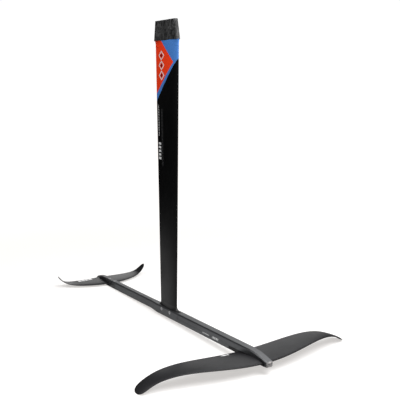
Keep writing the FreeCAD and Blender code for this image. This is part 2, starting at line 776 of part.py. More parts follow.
def nose_section(back):
    """The nose at a distance behind its tip: arcs seen from the side and from above."""
    tip = size("nose_tip_radius")
    height = size("front_height")
    run = size("nose_length") - tip
    fall = height - 2 * tip
    long_arc = tip + (run ** 2 + fall ** 2) / (2 * fall)
    joint = size("nose_length") - long_arc * run / (long_arc - tip)
    level = -height + tip
    rounding = math.sqrt(tip ** 2 - max(0, tip - back) ** 2)
    top = level + rounding
    if back > joint:
        top = math.sqrt(long_arc ** 2 - (size("nose_length") - back) ** 2) - long_arc
    plan = size("nose_plan_radius")
    tip_half = size("nose_tip_width") / 2
    tip_run = plan - math.sqrt(plan ** 2 - tip_half ** 2)
    half = math.sqrt(plan ** 2 - max(0, plan - back) ** 2)
    if back > tip_run:
        share = (back - tip_run) / (size("nose_length") - tip_run)
        half = tip_half + share * (size("front_width") / 2 - tip_half)
    bottom = level - rounding
    scale = min(2 * half / size("front_width"), (top - bottom) / height)
    return bar_section(size("nose_y") + back, half, top, bottom, scale)


def make_fuselage_blank():
    """The bar with bevelled edges: rear section, taper behind the mast, front section and nose."""
    front = (size("front_width") / 2, 0, -size("front_height"), 1)
    rear = (size("rear_width") / 2, 0, -size("rear_height"), 1)
    nose_start = size("nose_y") + size("nose_length")
    stations = [(nose_start, front), (size("taper_start_y"), front)]
    stations += [(size("taper_end_y"), rear), (size("tail_end_y"), rear)]
    bar = Part.makeLoft([bar_section(y, *shape) for y, shape in stations], True, True)
    backs = [share * size("nose_length") for share in NOSE_SHARES]
    backs += [size("nose_tip_radius") * (1 - math.cos(math.radians(a))) for a in NOSE_ANGLES]
    nose = Part.makeLoft([nose_section(back) for back in backs], True, True)
    return shaped("fuselage_blank", bar.fuse(nose))


def make_seat(name, clearance, width):
    """The wedge under the nose that the front wing's root fills."""
    body = new_body(name)
    sketch = new_sketch(body, name + "_side", "YZ_Plane")
    front = f"front_seat_front_y - {clearance}"
    rear = f"front_seat_rear_y + {clearance}"
    low = f"{FUSELAGE_BOTTOM} - {clearance}"
    corners = [(front, low), (rear, low), (rear, front_ceiling(rear)), (front, front_ceiling(front))]
    draw_outline(sketch, corners)
    add_pad(body, sketch, width, both_sides=True)
    return body


def make_fuselage():
    """The anodised bar with its socket, seats, recesses and holes."""
    blank = make_fuselage_blank()
    tools = []
    socket = new_body("mast_socket")
    outline = new_sketch(socket, "socket_outline", "XY_Plane", "-mast_length + cut_entry")
    draw_slot(outline, "tenon_chord + 2 * tenon_clearance", "tenon_width + 2 * tenon_clearance")
    add_pad(socket, outline, "tenon_depth + cut_entry", backwards=True)
    tools.append(socket)
    tools.append(make_seat("front_seat", "seat_clearance", "2 * front_width"))
    tools.append(block("tail_seat",
        ("-front_width", "tail_seat_front_y - seat_clearance", "-mast_length - front_height"),
        ("front_width", "tail_end_y + cut_entry", "-mast_length - tail_seat_drop")))
    floor = "front_width / 2 - recess_depth"
    outside = "front_width / 2 + cut_entry"
    for side, low, high in (("left", floor, outside), ("right", f"-({outside})", f"-({floor})")):
        tools.append(block(f"recess_{side}",
            (low, "recess_front_y", "-mast_length - recess_bottom"),
            (high, "recess_rear_y", "-mast_length - recess_top")))
    length = "front_height - tenon_depth + cut_entry"
    for k, place in enumerate(mast_bolt_places):
        spot = ("0", place, "-mast_length - front_height + head_sink")
        tools.append(make_screw_hole(f"mast_bolt_hole_{k}", "bolt", length, spot, HEAD_DOWN))
    length = "front_width / 2"
    for k, place in enumerate(side_screw_places):
        spot = ("-front_width / 2 + head_sink", place, "-mast_length - side_screw_drop")
        tools.append(make_screw_hole(f"side_screw_hole_{k}", "screw", length, spot, HEAD_TO_MINUS_X))
    length = "front_insert_length + head_sink + cut_entry + bond_gap"
    for k, place in enumerate(front_bolt_places):
        spot = ("0", place, f"{front_ceiling(place)} - cut_entry")
        tools.append(make_insert_hole(f"front_insert_hole_{k}", "bolt", length, spot, UPRIGHT))
    length = "tail_seat_drop + cut_entry"
    for k, place in enumerate(tail_screw_places):
        spot = ("0", place, "-mast_length - head_sink")
        tools.append(make_screw_hole(f"tail_screw_hole_{k}", "screw", length, spot, UPRIGHT))
    return cut_from("fuselage", blank, tools)


# ---------------------------------------------------------------- wings

PLAIN_SHARES = (0, 0.12, 0.24, 0.36, 0.48, 0.6, 0.7, 0.8, 0.88)
TIP_ANGLES = (0, 30, 50, 65, 76)
POWERS = {"square": 2, "fourth": 4, "eighth": 8}


def wing_series(kind, quality, share):
    """A sum of even powers of the share of the half span."""
    total = 0
    for word, power in POWERS.items():
        name = f"{kind}_{quality}_{word}"
        if name in ALIASES:
            total += size(name) * share ** power
    return total


def wing_chord(kind, reach):
    """Chord at a distance from the centre line, rounded off at the tip."""
    half_span = size(f"{kind}_span") / 2
    plain = size(f"{kind}_root_chord") * (1 + wing_series(kind, "taper", reach / half_span))
    rounding = size(f"{kind}_tip_round")
    into_tip = max(0, reach - half_span + rounding) / rounding
    return plain, plain * math.sqrt(1 - into_tip ** 2)


def wing_slope(kind, reach):
    """Rise over run of the wing along its span."""
    half_span = size(f"{kind}_span") / 2
    step = half_span / 1000
    here = wing_series(kind, "rise", reach / half_span)
    there = wing_series(kind, "rise", (reach + step) / half_span)
    return (there - here) / step


def wing_section(kind, x, nose, edge_rise, walls=(0, 0, 0)):
    """A section square to the span; walls are taken off its nose, its tail and each side."""
    half_span = size(f"{kind}_span") / 2
    reach = abs(x)
    share = reach / half_span
    plain, chord = wing_chord(kind, reach)
    root_share = size(f"{kind}_root_thickness") / size(f"{kind}_root_chord")
    tip_share = size(f"{kind}_tip_thickness_share")
    thickness = chord * (root_share + share * (tip_share - root_share)) - 2 * walls[2]
    edge = size("wing_tail_edge") / 2
    camber = size(f"{kind}_camber") * chord / size(f"{kind}_root_chord")
    lean = math.atan(wing_slope(kind, reach)) * (1 if x >= 0 else -1)
    nose_y = nose.y + wing_series(kind, "sweep", share) + (plain - chord) / 2
    nose_z = nose.z + wing_series(kind, "rise", share)
    rise = edge_rise * (1 - share)

    def place(along, across):
        back = walls[0] + along
        height = nose_z + rise * back / chord + across * math.cos(lean)
        return FreeCAD.Vector(x - across * math.sin(lean), nose_y + back, height)

    def half(s):
        return thickness * foil_half(s) + edge * s
    return section_wire(chord - walls[0] - walls[1], half, camber, place)


def wing_reaches(kind):
    """Distances from the centre line, root to tip, closer together where the tip rounds off."""
    half_span = size(f"{kind}_span") / 2
    rounding = size(f"{kind}_tip_round")
    inner = [share * half_span for share in PLAIN_SHARES if share * half_span < half_span - rounding]
    return inner + [half_span - rounding * (1 - math.sin(math.radians(a))) for a in TIP_ANGLES]


def make_wing(kind, nose, edge_rise):
    """The whole wing, tip to tip, in one skin."""
    reaches = wing_reaches(kind)
    places = [-reach for reach in reversed(reaches[1:])] + reaches
    return Part.makeLoft([wing_section(kind, x, nose, edge_rise) for x in places], True, False)


# ---------------------------------------------------------------- the front wing

front_drop = size("front_root_chord") * math.tan(math.radians(size("front_incidence")))
front_nose_y = size("front_seat_front_y") + size("front_nose_gap")
front_nose = FreeCAD.Vector(
    0,
    front_nose_y,
    -size("mast_length")
    - size("front_height")
    + size("front_seat_rise")
    - size("front_nose_gap") * math.tan(math.radians(size("front_incidence")))
    - size("front_root_thickness") / 2
    - size("front_camber")
    - size("wing_tail_edge") / 2,
)
CORE_STEPS = 5


def core_places():
    """Stations along one foam core, from the root block's side to the core's tip."""
    start = size("root_block_width") / 2
    step = (size("front_core_span") / 2 - start) / CORE_STEPS
    return [start + k * step for k in range(CORE_STEPS + 1)]


def make_front_filling(places, gap):
    """What lies inside the front wing's skin between stations along its span."""
    walls = (
        size("front_core_front_wall") + gap,
        size("front_core_rear_wall") + gap,
        size("front_skin") + gap,
    )
    sections = [wing_section("front", x, front_nose, -front_drop, walls) for x in places]
    return Part.makeLoft(sections, True, True)


def make_front_wing():
    """The skin with its root tongue, the foam cores, the solid root block and the steel."""
    outside = shaped("front_outside", make_wing("front", front_nose, -front_drop))
    tongue = make_seat("front_tongue", "0", "front_width")
    add_chamfer(tongue, long_edges(tongue.Tip.Shape, False), "bottom_chamfer")
    blank = join("front_blank", [outside, tongue])
    gap = size("bond_gap")
    right = core_places()
    left = [-place for place in right]
    tools = [shaped("front_cavity", make_front_filling(left[::-1] + right, 0))]
    block_tools = []
    bolts = []
    cups = []
    inserts = []
    lowest_ceiling = front_ceiling(front_bolt_places[-1])
    bolt_length = f"{lowest_ceiling} - ({FUSELAGE_BOTTOM}) + front_insert_length - bolt_end_gap"
    low = f"{FUSELAGE_BOTTOM} - cut_entry"
    cup_top = f"{FUSELAGE_BOTTOM} + cup_height + bond_gap"
    hole = "bolt_radius + pass_clearance"
    cup_hole = "cup_radius + bond_gap"
    for k, place in enumerate(front_bolt_places):
        for piece, cutters in (("skin", tools), ("block", block_tools)):
            cutters.append(upright_rod(f"{piece}_hole_{k}", hole, low, FUSELAGE_TOP, y=place))
            cutters.append(upright_rod(f"{piece}_cup_hole_{k}", cup_hole, low, cup_top, y=place))
        spot = ("0", place, f"{FUSELAGE_BOTTOM} + head_sink")
        bolts.append(make_screw(f"front_bolt_{k}", "bolt", bolt_length, spot, HEAD_DOWN))
        cups.append(make_cup(f"front_cup_{k}", place))
        spot = ("0", place, f"{front_ceiling(place)} + head_sink")
        inserts.append(make_insert(f"front_insert_{k}", "bolt", "front_insert_length", spot, UPRIGHT))
    inside = shaped("root_block_blank", make_front_filling([left[0], right[0]], gap))
    right[-1] -= gap
    left[-1] += gap
    return [
        cut_from("front_wing_shell", blank, tools),
        shaped("front_wing_core_right", make_front_filling(right, gap)),
        shaped("front_wing_core_left", make_front_filling(left, gap)),
        cut_from("front_wing_root_block", inside, block_tools),
        group("front_wing_bolts", bolts),
        group("front_wing_bolt_cups", cups),
        group("front_wing_inserts", inserts),
    ]


def make_cup(name, place):
    """A steel ring let into the wing's underside, with a cone for the bolt's head."""
    body = new_body(name)
    profile = new_sketch(body, name + "_profile", "XZ_Plane")
    hole = "bolt_radius + pass_clearance"
    cone_low = "bolt_head_height + pass_clearance"
    draw_outline(profile, [
        (hole, "-cup_height"),
        ("cup_radius", "-cup_height"),
        ("cup_radius", "0"),
        ("bolt_head_radius + pass_clearance", "0"),
        ("bolt_head_radius + pass_clearance", "-pass_clearance"),
        (hole, f"-({cone_low})"),
    ])
    add_spin(body, profile)
    body.Placement.Rotation = HEAD_DOWN
    bind(body, Base_y=place, Base_z=FUSELAGE_BOTTOM)
    return body


# ---------------------------------------------------------------- the tail wing

CONE_SHARES = (0, 0.15, 0.3, 0.43, 0.55, 0.66, 0.76, 0.85, 0.93, 1)
CONE_FALL_POWER = 3.5
CONE_WIDTH_POWER = 3


def cone_section(share):
    """An eight-sided section of the moulded cone, 0 at the aluminium's end."""
    start = size("tail_end_y") + size("seat_clearance")
    y = start + share * (size("cone_end_y") - start)
    curve = share ** CONE_FALL_POWER
    top = -size("cone_top_fall") * curve
    bottom = -size("rear_height") + size("cone_bottom_rise") * curve
    width = size("rear_width") - (size("rear_width") - size("cone_end_width")) * share ** CONE_WIDTH_POWER
    return bar_section(y, width / 2, top, bottom, width / size("rear_width"))


def make_tail_wing():
    """The solid tail wing with its tongue and cone, its wedge, inserts and screws."""
    nose = FreeCAD.Vector(0, size("tail_nose_y"), -size("mast_length") - size("tail_nose_drop"))
    wing = shaped("tail_outside", make_wing("tail", nose, size("tail_edge_rise")))
    cone = shaped("tail_cone", Part.makeLoft([cone_section(share) for share in CONE_SHARES], True, True))
    seat_top = "-mast_length - tail_seat_drop"
    wedge_front = f"{seat_top} - tail_shim_front"
    wedge_rear = f"{seat_top} - tail_shim_rear"
    bottom = "-mast_length - rear_height"
    tongue = new_body("tail_tongue")
    side = new_sketch(tongue, "tail_tongue_side", "YZ_Plane")
    draw_outline(side, [
        ("tail_seat_front_y", bottom),
        ("tail_end_y + seat_clearance", bottom),
        ("tail_end_y + seat_clearance", wedge_rear),
        ("tail_seat_front_y", wedge_front),
    ])
    add_pad(tongue, side, "rear_width", both_sides=True)
    add_chamfer(tongue, long_edges(tongue.Tip.Shape, False), "bottom_chamfer")
    blank = join("tail_blank", [wing, cone, tongue])

    shim = new_body("tail_wing_shim")
    wedge = new_sketch(shim, "shim_side", "YZ_Plane")
    draw_outline(wedge, [
        ("tail_seat_front_y", wedge_front),
        ("tail_end_y", wedge_rear),
        ("tail_end_y", seat_top),
        ("tail_seat_front_y", seat_top),
    ])
    add_pad(shim, wedge, "rear_width", both_sides=True)
    holes = new_sketch(shim, "shim_holes", "XY_Plane")
    tools = []
    screws = []
    inserts = []
    insert_top = f"{wedge_rear} - head_sink"
    length = "tail_insert_length + cut_entry + bond_gap"
    screw_length = "tail_seat_drop + tail_shim_rear + tail_insert_length - bolt_end_gap"
    for k, place in enumerate(tail_screw_places):
        draw_circle(holes, ("0", place), "screw_radius + pass_clearance")
        spot = ("0", place, f"{insert_top} + cut_entry")
        tools.append(make_insert_hole(f"tail_insert_hole_{k}", "screw", length, spot, HEAD_DOWN))
        spot = ("0", place, insert_top)
        inserts.append(make_insert(f"tail_insert_{k}", "screw", "tail_insert_length", spot, HEAD_DOWN))
        spot = ("0", place, "-mast_length - head_sink")
        screws.append(make_screw(f"tail_screw_{k}", "screw", screw_length, spot, UPRIGHT))
    add_pocket(shim, holes)
    return [
        cut_from("tail_wing", blank, tools),
        shim,
        group("tail_wing_inserts", inserts),
        group("tail_wing_screws", screws),
    ]


# ---------------------------------------------------------------- build, check and write

sub_parts = make_mast()
sub_parts.append(make_head())
sub_parts.append(make_barrel_nut("head_nut_front", "-head_bolt_spacing / 2"))
sub_parts.append(make_barrel_nut("head_nut_rear", "head_bolt_spacing / 2"))
sub_parts.append(make_foot())
sub_parts.extend(make_foot_fasteners())
sub_parts.append(make_fuselage())
sub_parts.extend(make_front_wing())
sub_parts.extend(make_tail_wing())
doc.removeObject(probe.Name)
doc.recompute()

for item in doc.Objects:
    if "Invalid" in item.State or "Error" in item.State:
        raise RuntimeError(f"{item.Name} did not build: {item.State}")
for sub_part in sub_parts:
    if sub_part.Shape.isNull() or not sub_part.Shape.isValid() or not sub_part.Shape.Solids:
        raise RuntimeError(f"{sub_part.Label} has no valid solid")
for sub_part in sub_parts:
    sub_part.Shape.exportStep(f"parts/{sub_part.Label}.step")
    solids = len(sub_part.Shape.Solids)
    print(f"{sub_part.Label}: {solids} solids, {sub_part.Shape.Volume / 1000:.1f} cm3")
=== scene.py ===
"""Looks of a hydrofoil: black carbon mast and wings bolted to an anodised aluminium fuselage.

Metres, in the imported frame: +Z up the mast, -Y the way it travels, X = 0 in the middle.
"""
import math

import bmesh
import bpy
from mathutils import Matrix, Vector


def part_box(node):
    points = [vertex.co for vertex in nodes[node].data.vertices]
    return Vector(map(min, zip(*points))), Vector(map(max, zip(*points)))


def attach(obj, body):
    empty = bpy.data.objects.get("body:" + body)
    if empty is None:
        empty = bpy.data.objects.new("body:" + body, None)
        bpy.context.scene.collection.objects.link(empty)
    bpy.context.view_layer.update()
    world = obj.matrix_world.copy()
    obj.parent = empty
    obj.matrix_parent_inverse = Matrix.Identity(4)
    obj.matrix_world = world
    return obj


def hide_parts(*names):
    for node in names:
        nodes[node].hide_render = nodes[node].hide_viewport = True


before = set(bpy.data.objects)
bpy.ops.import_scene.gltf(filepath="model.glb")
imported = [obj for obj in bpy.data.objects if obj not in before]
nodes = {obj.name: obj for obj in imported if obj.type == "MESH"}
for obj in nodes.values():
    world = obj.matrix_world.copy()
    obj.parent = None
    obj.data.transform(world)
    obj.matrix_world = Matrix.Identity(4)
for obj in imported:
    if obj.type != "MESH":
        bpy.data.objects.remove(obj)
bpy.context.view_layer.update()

# ------------------------------------------------------------------ the mast
# A hollow carbon blade laid up round foam, its fibres running up and down, pressed in a mould
# and sanded satin. Under the head a red and blue panel is printed on both sides, with plain
# bars and rules down the trailing edge, all flush under the same matt clear coat.


def make_finish(name, metallic, roughness, specular):
    """A material with plain numbers on its shader; returns it, its node tree and the shader."""
    finish = bpy.data.materials.new(name)
    finish.use_nodes = True
    tree = finish.node_tree
    shader = tree.nodes["Principled BSDF"]
    shader.inputs["Metallic"].default_value = metallic
    shader.inputs["Roughness"].default_value = roughness
    shader.inputs["Specular IOR Level"].default_value = specular
    return finish, tree, shader


def surface_place(tree, stretch=(1, 1, 1)):
    """The point in the piece's own metres, multiplied along each axis."""
    source = tree.nodes.new("ShaderNodeTexCoord")
    mapping = tree.nodes.new("ShaderNodeMapping")
    mapping.inputs["Scale"].default_value = stretch
    tree.links.new(source.outputs["Object"], mapping.inputs["Vector"])
    return mapping.outputs["Vector"]


def surface_axes(tree):
    """X, Y and Z of the point in the piece's own metres."""
    split = tree.nodes.new("ShaderNodeSeparateXYZ")
    tree.links.new(surface_place(tree), split.inputs["Vector"])
    return split.outputs["X"], split.outputs["Y"], split.outputs["Z"]


def combine(tree, operation, first, second=0.0, third=0.0, clamp=False):
    """One Math node; each term is a socket or a number."""
    node = tree.nodes.new("ShaderNodeMath")
    node.operation = operation
    node.use_clamp = clamp
    for socket, term in zip(node.inputs, (first, second, third)):
        if isinstance(term, (int, float)):
            socket.default_value = term
        else:
            tree.links.new(term, socket)
    return node.outputs["Value"]


def cloud(tree, size, stretch=(1, 1, 1), detail=3.0):
    """Soft random values from 0 to 1 with blots about this many metres across."""
    node = tree.nodes.new("ShaderNodeTexNoise")
    node.inputs["Scale"].default_value = 1 / size
    node.inputs["Detail"].default_value = detail
    tree.links.new(surface_place(tree, stretch), node.inputs["Vector"])
    return node.outputs["Fac"]


def spread(tree, value, low, high, dark, light):
    """A value's range from low to high turned into numbers from dark to light."""
    node = tree.nodes.new("ShaderNodeMapRange")
    limits = (("From Min", low), ("From Max", high), ("To Min", dark), ("To Max", light))
    for name, number in limits:
        node.inputs[name].default_value = number
    tree.links.new(value, node.inputs["Value"])
    return node.outputs["Result"]


def lay_over(tree, mask, under, over):
    """One colour over another where the mask is 1; each is a socket or a colour."""
    node = tree.nodes.new("ShaderNodeMix")
    node.data_type = "RGBA"
    tree.links.new(mask, node.inputs["Factor"])
    for socket, colour in ((node.inputs[6], under), (node.inputs[7], over)):
        if isinstance(colour, tuple):
            socket.default_value = (*colour, 1)
        else:
            tree.links.new(colour, socket)
    return node.outputs[2]


def relief(tree, shader, height, depth):
    """Fine texture of the surface, this many metres deep."""
    node = tree.nodes.new("ShaderNodeBump")
    node.inputs["Distance"].default_value = depth
    tree.links.new(height, node.inputs["Height"])
    tree.links.new(node.outputs["Normal"], shader.inputs["Normal"])


PRINT_EDGE = 0.0006                      # how far a print's edge blurs into the clear coat


def past(tree, value, limit, edge=PRINT_EDGE):
    """1 where the value is over the limit, rising over this width."""
    return combine(tree, "DIVIDE", combine(tree, "SUBTRACT", value, limit), edge, clamp=True)


def strip(tree, value, low, high, edge=PRINT_EDGE):
    """1 where the value lies between two limits."""
    inside = past(tree, value, low, edge)
    outside = past(tree, value, high, edge)
    return combine(tree, "MULTIPLY", inside, combine(tree, "SUBTRACT", 1.0, outside))


def both(tree, first, second):
    """1 where both masks are 1."""
    return combine(tree, "MULTIPLY", first, second)


def dress(finish, *names):
    """Gives CAD nodes a finish on every slot."""
    for name in names:
        slots = nodes[name].data.materials
        slots.clear()
        slots.append(finish)


CARBON_DARK = (0.0012, 0.0012, 0.0013)
CARBON_LIGHT = (0.0024, 0.0024, 0.0026)
PRINT_RED = (0.86, 0.05, 0.011)
PRINT_BLUE = (0.065, 0.2, 0.54)
PRINT_WHITE = (0.7, 0.7, 0.7)
PRINT_GREY = (0.075, 0.075, 0.078)
PRINT_DARK_RED = (0.2, 0.008, 0.006)

mast_low, mast_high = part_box("mast_shell")
MAST_TAPER = 0.0229                      # trailing edge leans forward, metres per metre down
EDGE_INSET = 0.0024                      # trailing edge's line ahead of the flare under the head
BOUNDARY_TOP_Y = 0.031                   # red meets blue here under the head
APEX = (-0.052, -0.075)                  # y and z of the red panel's forward corner
RED_END_Z = -0.190                       # red runs out on the trailing edge here
BLUE_START_Z = -0.0635                   # blue's lower line leaves the leading edge here
BLUE_END_Z = -0.216                      # and meets the trailing edge here

FIBRE_WIDTH = 0.0009
FIBRE_STRETCH = 0.012                    # width to length
FIBRE_SHARE = 0.45                       # of the tone's variation, the rest is slow clouds
CLOUD_SIZE = 0.11


def carbon_tone(tree, dark, light, along):
    """Carbon's near-black with slow clouds and fine fibres along one axis; also the fibres."""
    stretch = [1.0, 1.0, 1.0]
    stretch["XYZ".index(along)] = FIBRE_STRETCH
    fibre = cloud(tree, FIBRE_WIDTH, tuple(stretch), 2)
    slow = cloud(tree, CLOUD_SIZE, (1, 1, 1), 4)
    clouds = combine(tree, "MULTIPLY", slow, 1 - FIBRE_SHARE)
    mixed = combine(tree, "MULTIPLY_ADD", fibre, FIBRE_SHARE, clouds)
    return lay_over(tree, spread(tree, mixed, 0.38, 0.62, 0, 1), dark, light), fibre


def below_line(tree, y, z, start, end):
    """1 under a straight line through two (y, z) places."""
    slope = (end[1] - start[1]) / (end[0] - start[0])
    height = combine(tree, "MULTIPLY_ADD", y, slope, start[1] - slope * start[0])
    return past(tree, combine(tree, "SUBTRACT", height, z), 0)


WHOLE_ROWS = 100.0                       # keeps a row's number above 0


def rule_marks(tree, value, top, bottom, pitch, fill):
    """Marks stacked between two limits of a value, each taking this share of the pitch."""
    steps = combine(tree, "DIVIDE", value, pitch)
    within = combine(tree, "FRACT", combine(tree, "ADD", steps, WHOLE_ROWS))
    mark = strip(tree, within, 0.5 - fill / 2, 0.5 + fill / 2, PRINT_EDGE / pitch)
    return both(tree, mark, strip(tree, value, bottom, top))


mast_finish, tree, shader = make_finish("satin_mast_carbon", 0.0, 0.36, 0.28)
_, y, z = surface_axes(tree)
tone, fibre = carbon_tone(tree, CARBON_DARK, CARBON_LIGHT, "Z")
tail_edge = combine(tree, "MULTIPLY_ADD", z, MAST_TAPER, mast_high.y - EDGE_INSET)
ahead = combine(tree, "SUBTRACT", tail_edge, y)

over_blue_line = combine(
    tree, "SUBTRACT", 1.0,
    below_line(tree, y, z, (mast_low.y, BLUE_START_Z), (mast_high.y, BLUE_END_Z)))
tone = lay_over(tree, over_blue_line, tone, PRINT_BLUE)
behind_boundary = below_line(tree, y, z, APEX, (BOUNDARY_TOP_Y, 0))
over_red_line = combine(
    tree, "SUBTRACT", 1.0, below_line(tree, y, z, APEX, (mast_high.y, RED_END_Z)))
red_area = both(tree, behind_boundary, over_red_line)
tone = lay_over(tree, red_area, tone, PRINT_RED)

# A column of three plain lozenges on the red, each a white outline round a dark red middle.
LOZENGE_Y = 0.030
LOZENGE_PITCH = 0.034
LOZENGE_HALF = 0.021                     # half width
LOZENGE_RISE = 2.05                      # over 2, so that neighbours don't quite touch
LOZENGE_EDGE = PRINT_EDGE / LOZENGE_HALF
LOZENGE_INKS = (
    # from and to as shares of the way from the middle to the outline, colour
    (0.7, 1.0, PRINT_WHITE),
    (-1, 0.42, PRINT_DARK_RED),
)
lozenge_rows = combine(tree, "ADD", combine(tree, "DIVIDE", z, LOZENGE_PITCH), WHOLE_ROWS)
place_in_row = combine(tree, "SUBTRACT", combine(tree, "FRACT", lozenge_rows), 0.5)
level = combine(tree, "MULTIPLY", combine(tree, "ABSOLUTE", place_in_row), LOZENGE_RISE)
sideways = combine(tree, "ABSOLUTE", combine(tree, "SUBTRACT", y, LOZENGE_Y))
lozenge = combine(tree, "ADD", level, combine(tree, "DIVIDE", sideways, LOZENGE_HALF))
rows = strip(tree, z, -4 * LOZENGE_PITCH, -LOZENGE_PITCH)
for inner, outer, ink in LOZENGE_INKS:
    band = strip(tree, lozenge, inner, outer, LOZENGE_EDGE)
    tone = lay_over(tree, both(tree, rows, band), tone, ink)

# Five broad bars near the trailing edge, a fine rule ahead of them and a dashed line above.
MARK_COLUMNS = (
    # nearest and farthest edge ahead of the trailing edge, top, bottom, pitch, fill, colour
    (0.009, 0.029, -0.353, -0.418, 0.013, 0.62, PRINT_WHITE),
    (0.0355, 0.0455, -0.236, -0.437, 0.005, 0.32, PRINT_GREY),
    (0.0125, 0.0165, -0.222, -0.330, 0.009, 0.72, PRINT_WHITE),
)
for near, far, top, bottom, pitch, fill, ink in MARK_COLUMNS:
    column = strip(tree, ahead, near, far)
    marks = both(tree, column, rule_marks(tree, z, top, bottom, pitch, fill))
    tone = lay_over(tree, marks, tone, ink)
tree.links.new(tone, shader.inputs["Base Color"])
tree.links.new(spread(tree, fibre, 0.3, 0.7, 0.32, 0.4), shader.inputs["Roughness"])
relief(tree, shader, fibre, 0.000015)
dress(mast_finish, "mast_shell")

# ------------------------------------------------------------------ the head
# A tapered block pressed from chopped carbon and resin, left matt as it comes from the mould,
# with swirls of flakes. The block in the wing's root that the bolts clamp is pressed alike.

FLAKE_SIZE = 0.007
SWIRL_SIZE = 0.03
FLAKE_SHARE = 0.3                        # of the tone's range, added to the swirls'
GLOSS_RANGE = 0.2                        # roughness from one flake to another
HEAD_DARK = (0.0015, 0.0015, 0.0017)
HEAD_LIGHT = (0.06, 0.06, 0.061)


def chopped_finish(name, roughness):
    """Chopped carbon that swirled as it flowed in the mould, with flakes of their own shade."""
    finish, tree, shader = make_finish(name, 0.0, roughness, 0.4)
    flow = tree.nodes.new("ShaderNodeTexNoise")
    flow.inputs["Scale"].default_value = 1 / SWIRL_SIZE
    flow.inputs["Detail"].default_value = 2
    flow.inputs["Distortion"].default_value = 1.6
    tree.links.new(surface_place(tree), flow.inputs["Vector"])
    warp = tree.nodes.new("ShaderNodeVectorMath")
    warp.operation = "MULTIPLY_ADD"
    tree.links.new(flow.outputs["Color"], warp.inputs[0])
    warp.inputs[1].default_value = (SWIRL_SIZE, SWIRL_SIZE, SWIRL_SIZE)
    tree.links.new(surface_place(tree), warp.inputs[2])
    flakes = tree.nodes.new("ShaderNodeTexVoronoi")
    flakes.inputs["Scale"].default_value = 1 / FLAKE_SIZE
    tree.links.new(warp.outputs["Vector"], flakes.inputs["Vector"])
    shade = tree.nodes.new("ShaderNodeSeparateColor")
    tree.links.new(flakes.outputs["Color"], shade.inputs["Color"])
    swirl = spread(tree, flow.outputs["Fac"], 0.38, 0.66, 0, 0.75)
    mixed = combine(tree, "MULTIPLY_ADD", shade.outputs["Red"], FLAKE_SHARE, swirl, clamp=True)
    tree.links.new(lay_over(tree, mixed, HEAD_DARK, HEAD_LIGHT), shader.inputs["Base Color"])
    gloss = combine(
        tree, "MULTIPLY_ADD", shade.outputs["Green"], GLOSS_RANGE, roughness - GLOSS_RANGE / 2)
    tree.links.new(gloss, shader.inputs["Roughness"])
    relief(tree, shader, shade.outputs["Blue"], 0.00008)
    return finish


head_finish = chopped_finish("chopped_carbon", 0.52)
dress(head_finish, "mast_head", "front_wing_root_block")

# ------------------------------------------------------------------ bolts, nuts and inserts
# Turned from stainless steel and tumbled, so each is evenly satin with slow clouds of tarnish.
# The cups under the front wing's bolts are the same steel.

STEEL_DARK = (0.36, 0.36, 0.365)
STEEL_LIGHT = (0.66, 0.66, 0.67)

steel_finish, tree, shader = make_finish("turned_steel", 1.0, 0.33, 0.5)
grit = cloud(tree, 0.0003, (1, 1, 1), 2)
tarnish = cloud(tree, 0.008, (1, 1, 1), 4)
tone = lay_over(tree, spread(tree, tarnish, 0.35, 0.65, 0, 1), STEEL_LIGHT, STEEL_DARK)
tree.links.new(tone, shader.inputs["Base Color"])
tree.links.new(spread(tree, grit, 0.3, 0.7, 0.3, 0.36), shader.inputs["Roughness"])
relief(tree, shader, grit, 0.000001)
STEEL_WORDS = ("bolt", "screw", "insert", "nut")
dress(steel_finish, *[name for name in nodes if any(word in name for word in STEEL_WORDS)])

# ------------------------------------------------------------------ foam cores
# Closed-cell foam, cut to shape, that the laminate is wrapped round: one core in the mast and
# one in each half of the front wing. Hidden in use, so only its cells and its colour are given.

FOAM_DARK = (0.42, 0.34, 0.2)
FOAM_LIGHT = (0.66, 0.58, 0.4)

foam_finish, tree, shader = make_finish("closed_cell_foam", 0.0, 0.9, 0.3)
CELLS_PER_METRE = 900
cells = tree.nodes.new("ShaderNodeTexVoronoi")
cells.inputs["Scale"].default_value = CELLS_PER_METRE
tree.links.new(surface_place(tree), cells.inputs["Vector"])
wall = spread(tree, cells.outputs["Distance"], 0.1, 0.6, 0, 1)
tone = lay_over(tree, wall, FOAM_DARK, FOAM_LIGHT)
tree.links.new(tone, shader.inputs["Base Color"])
relief(tree, shader, cells.outputs["Distance"], 0.0003)
dress(foam_finish, "mast_core", "front_wing_core_left", "front_wing_core_right")

# ------------------------------------------------------------------ the foot
# Moulded carbon that flares out on the fuselage. It is bare of print, and a little paler than
# the mast.

FOOT_LIGHT = (0.01, 0.01, 0.0105)

foot_finish, tree, shader = make_finish("moulded_foot_carbon", 0.0, 0.4, 0.42)
tone, fibre = carbon_tone(tree, CARBON_DARK, FOOT_LIGHT, "Z")
tree.links.new(tone, shader.inputs["Base Color"])
tree.links.new(spread(tree, fibre, 0.3, 0.7, 0.34, 0.46), shader.inputs["Roughness"])
relief(tree, shader, fibre, 0.000015)
dress(foot_finish, "mast_foot")

# ------------------------------------------------------------------ the fuselage
# A bar milled from aluminium, bead-blasted and anodised black, with the milling's long grain
# still showing. It is rubbed bare at the nose, where the bare metal is also a painted highlight,
# and has plain printed bars on both sides.

ANODISE_DARK = (0.094, 0.096, 0.1)
ANODISE_LIGHT = (0.122, 0.125, 0.13)
BARE_METAL_HIGHLIGHT = (0.36, 0.345, 0.34)
ANODISE_METALLIC = 0.8
WORN_HIGHLIGHT_LENGTH = 0.009                      # of the nose's tip
WORN_HIGHLIGHT_DEPTH = 1.3                         # over 1, so the very tip is nearly bare
MILLING_SHARE = 0.4                      # of the tone's variation, the rest is slow blots

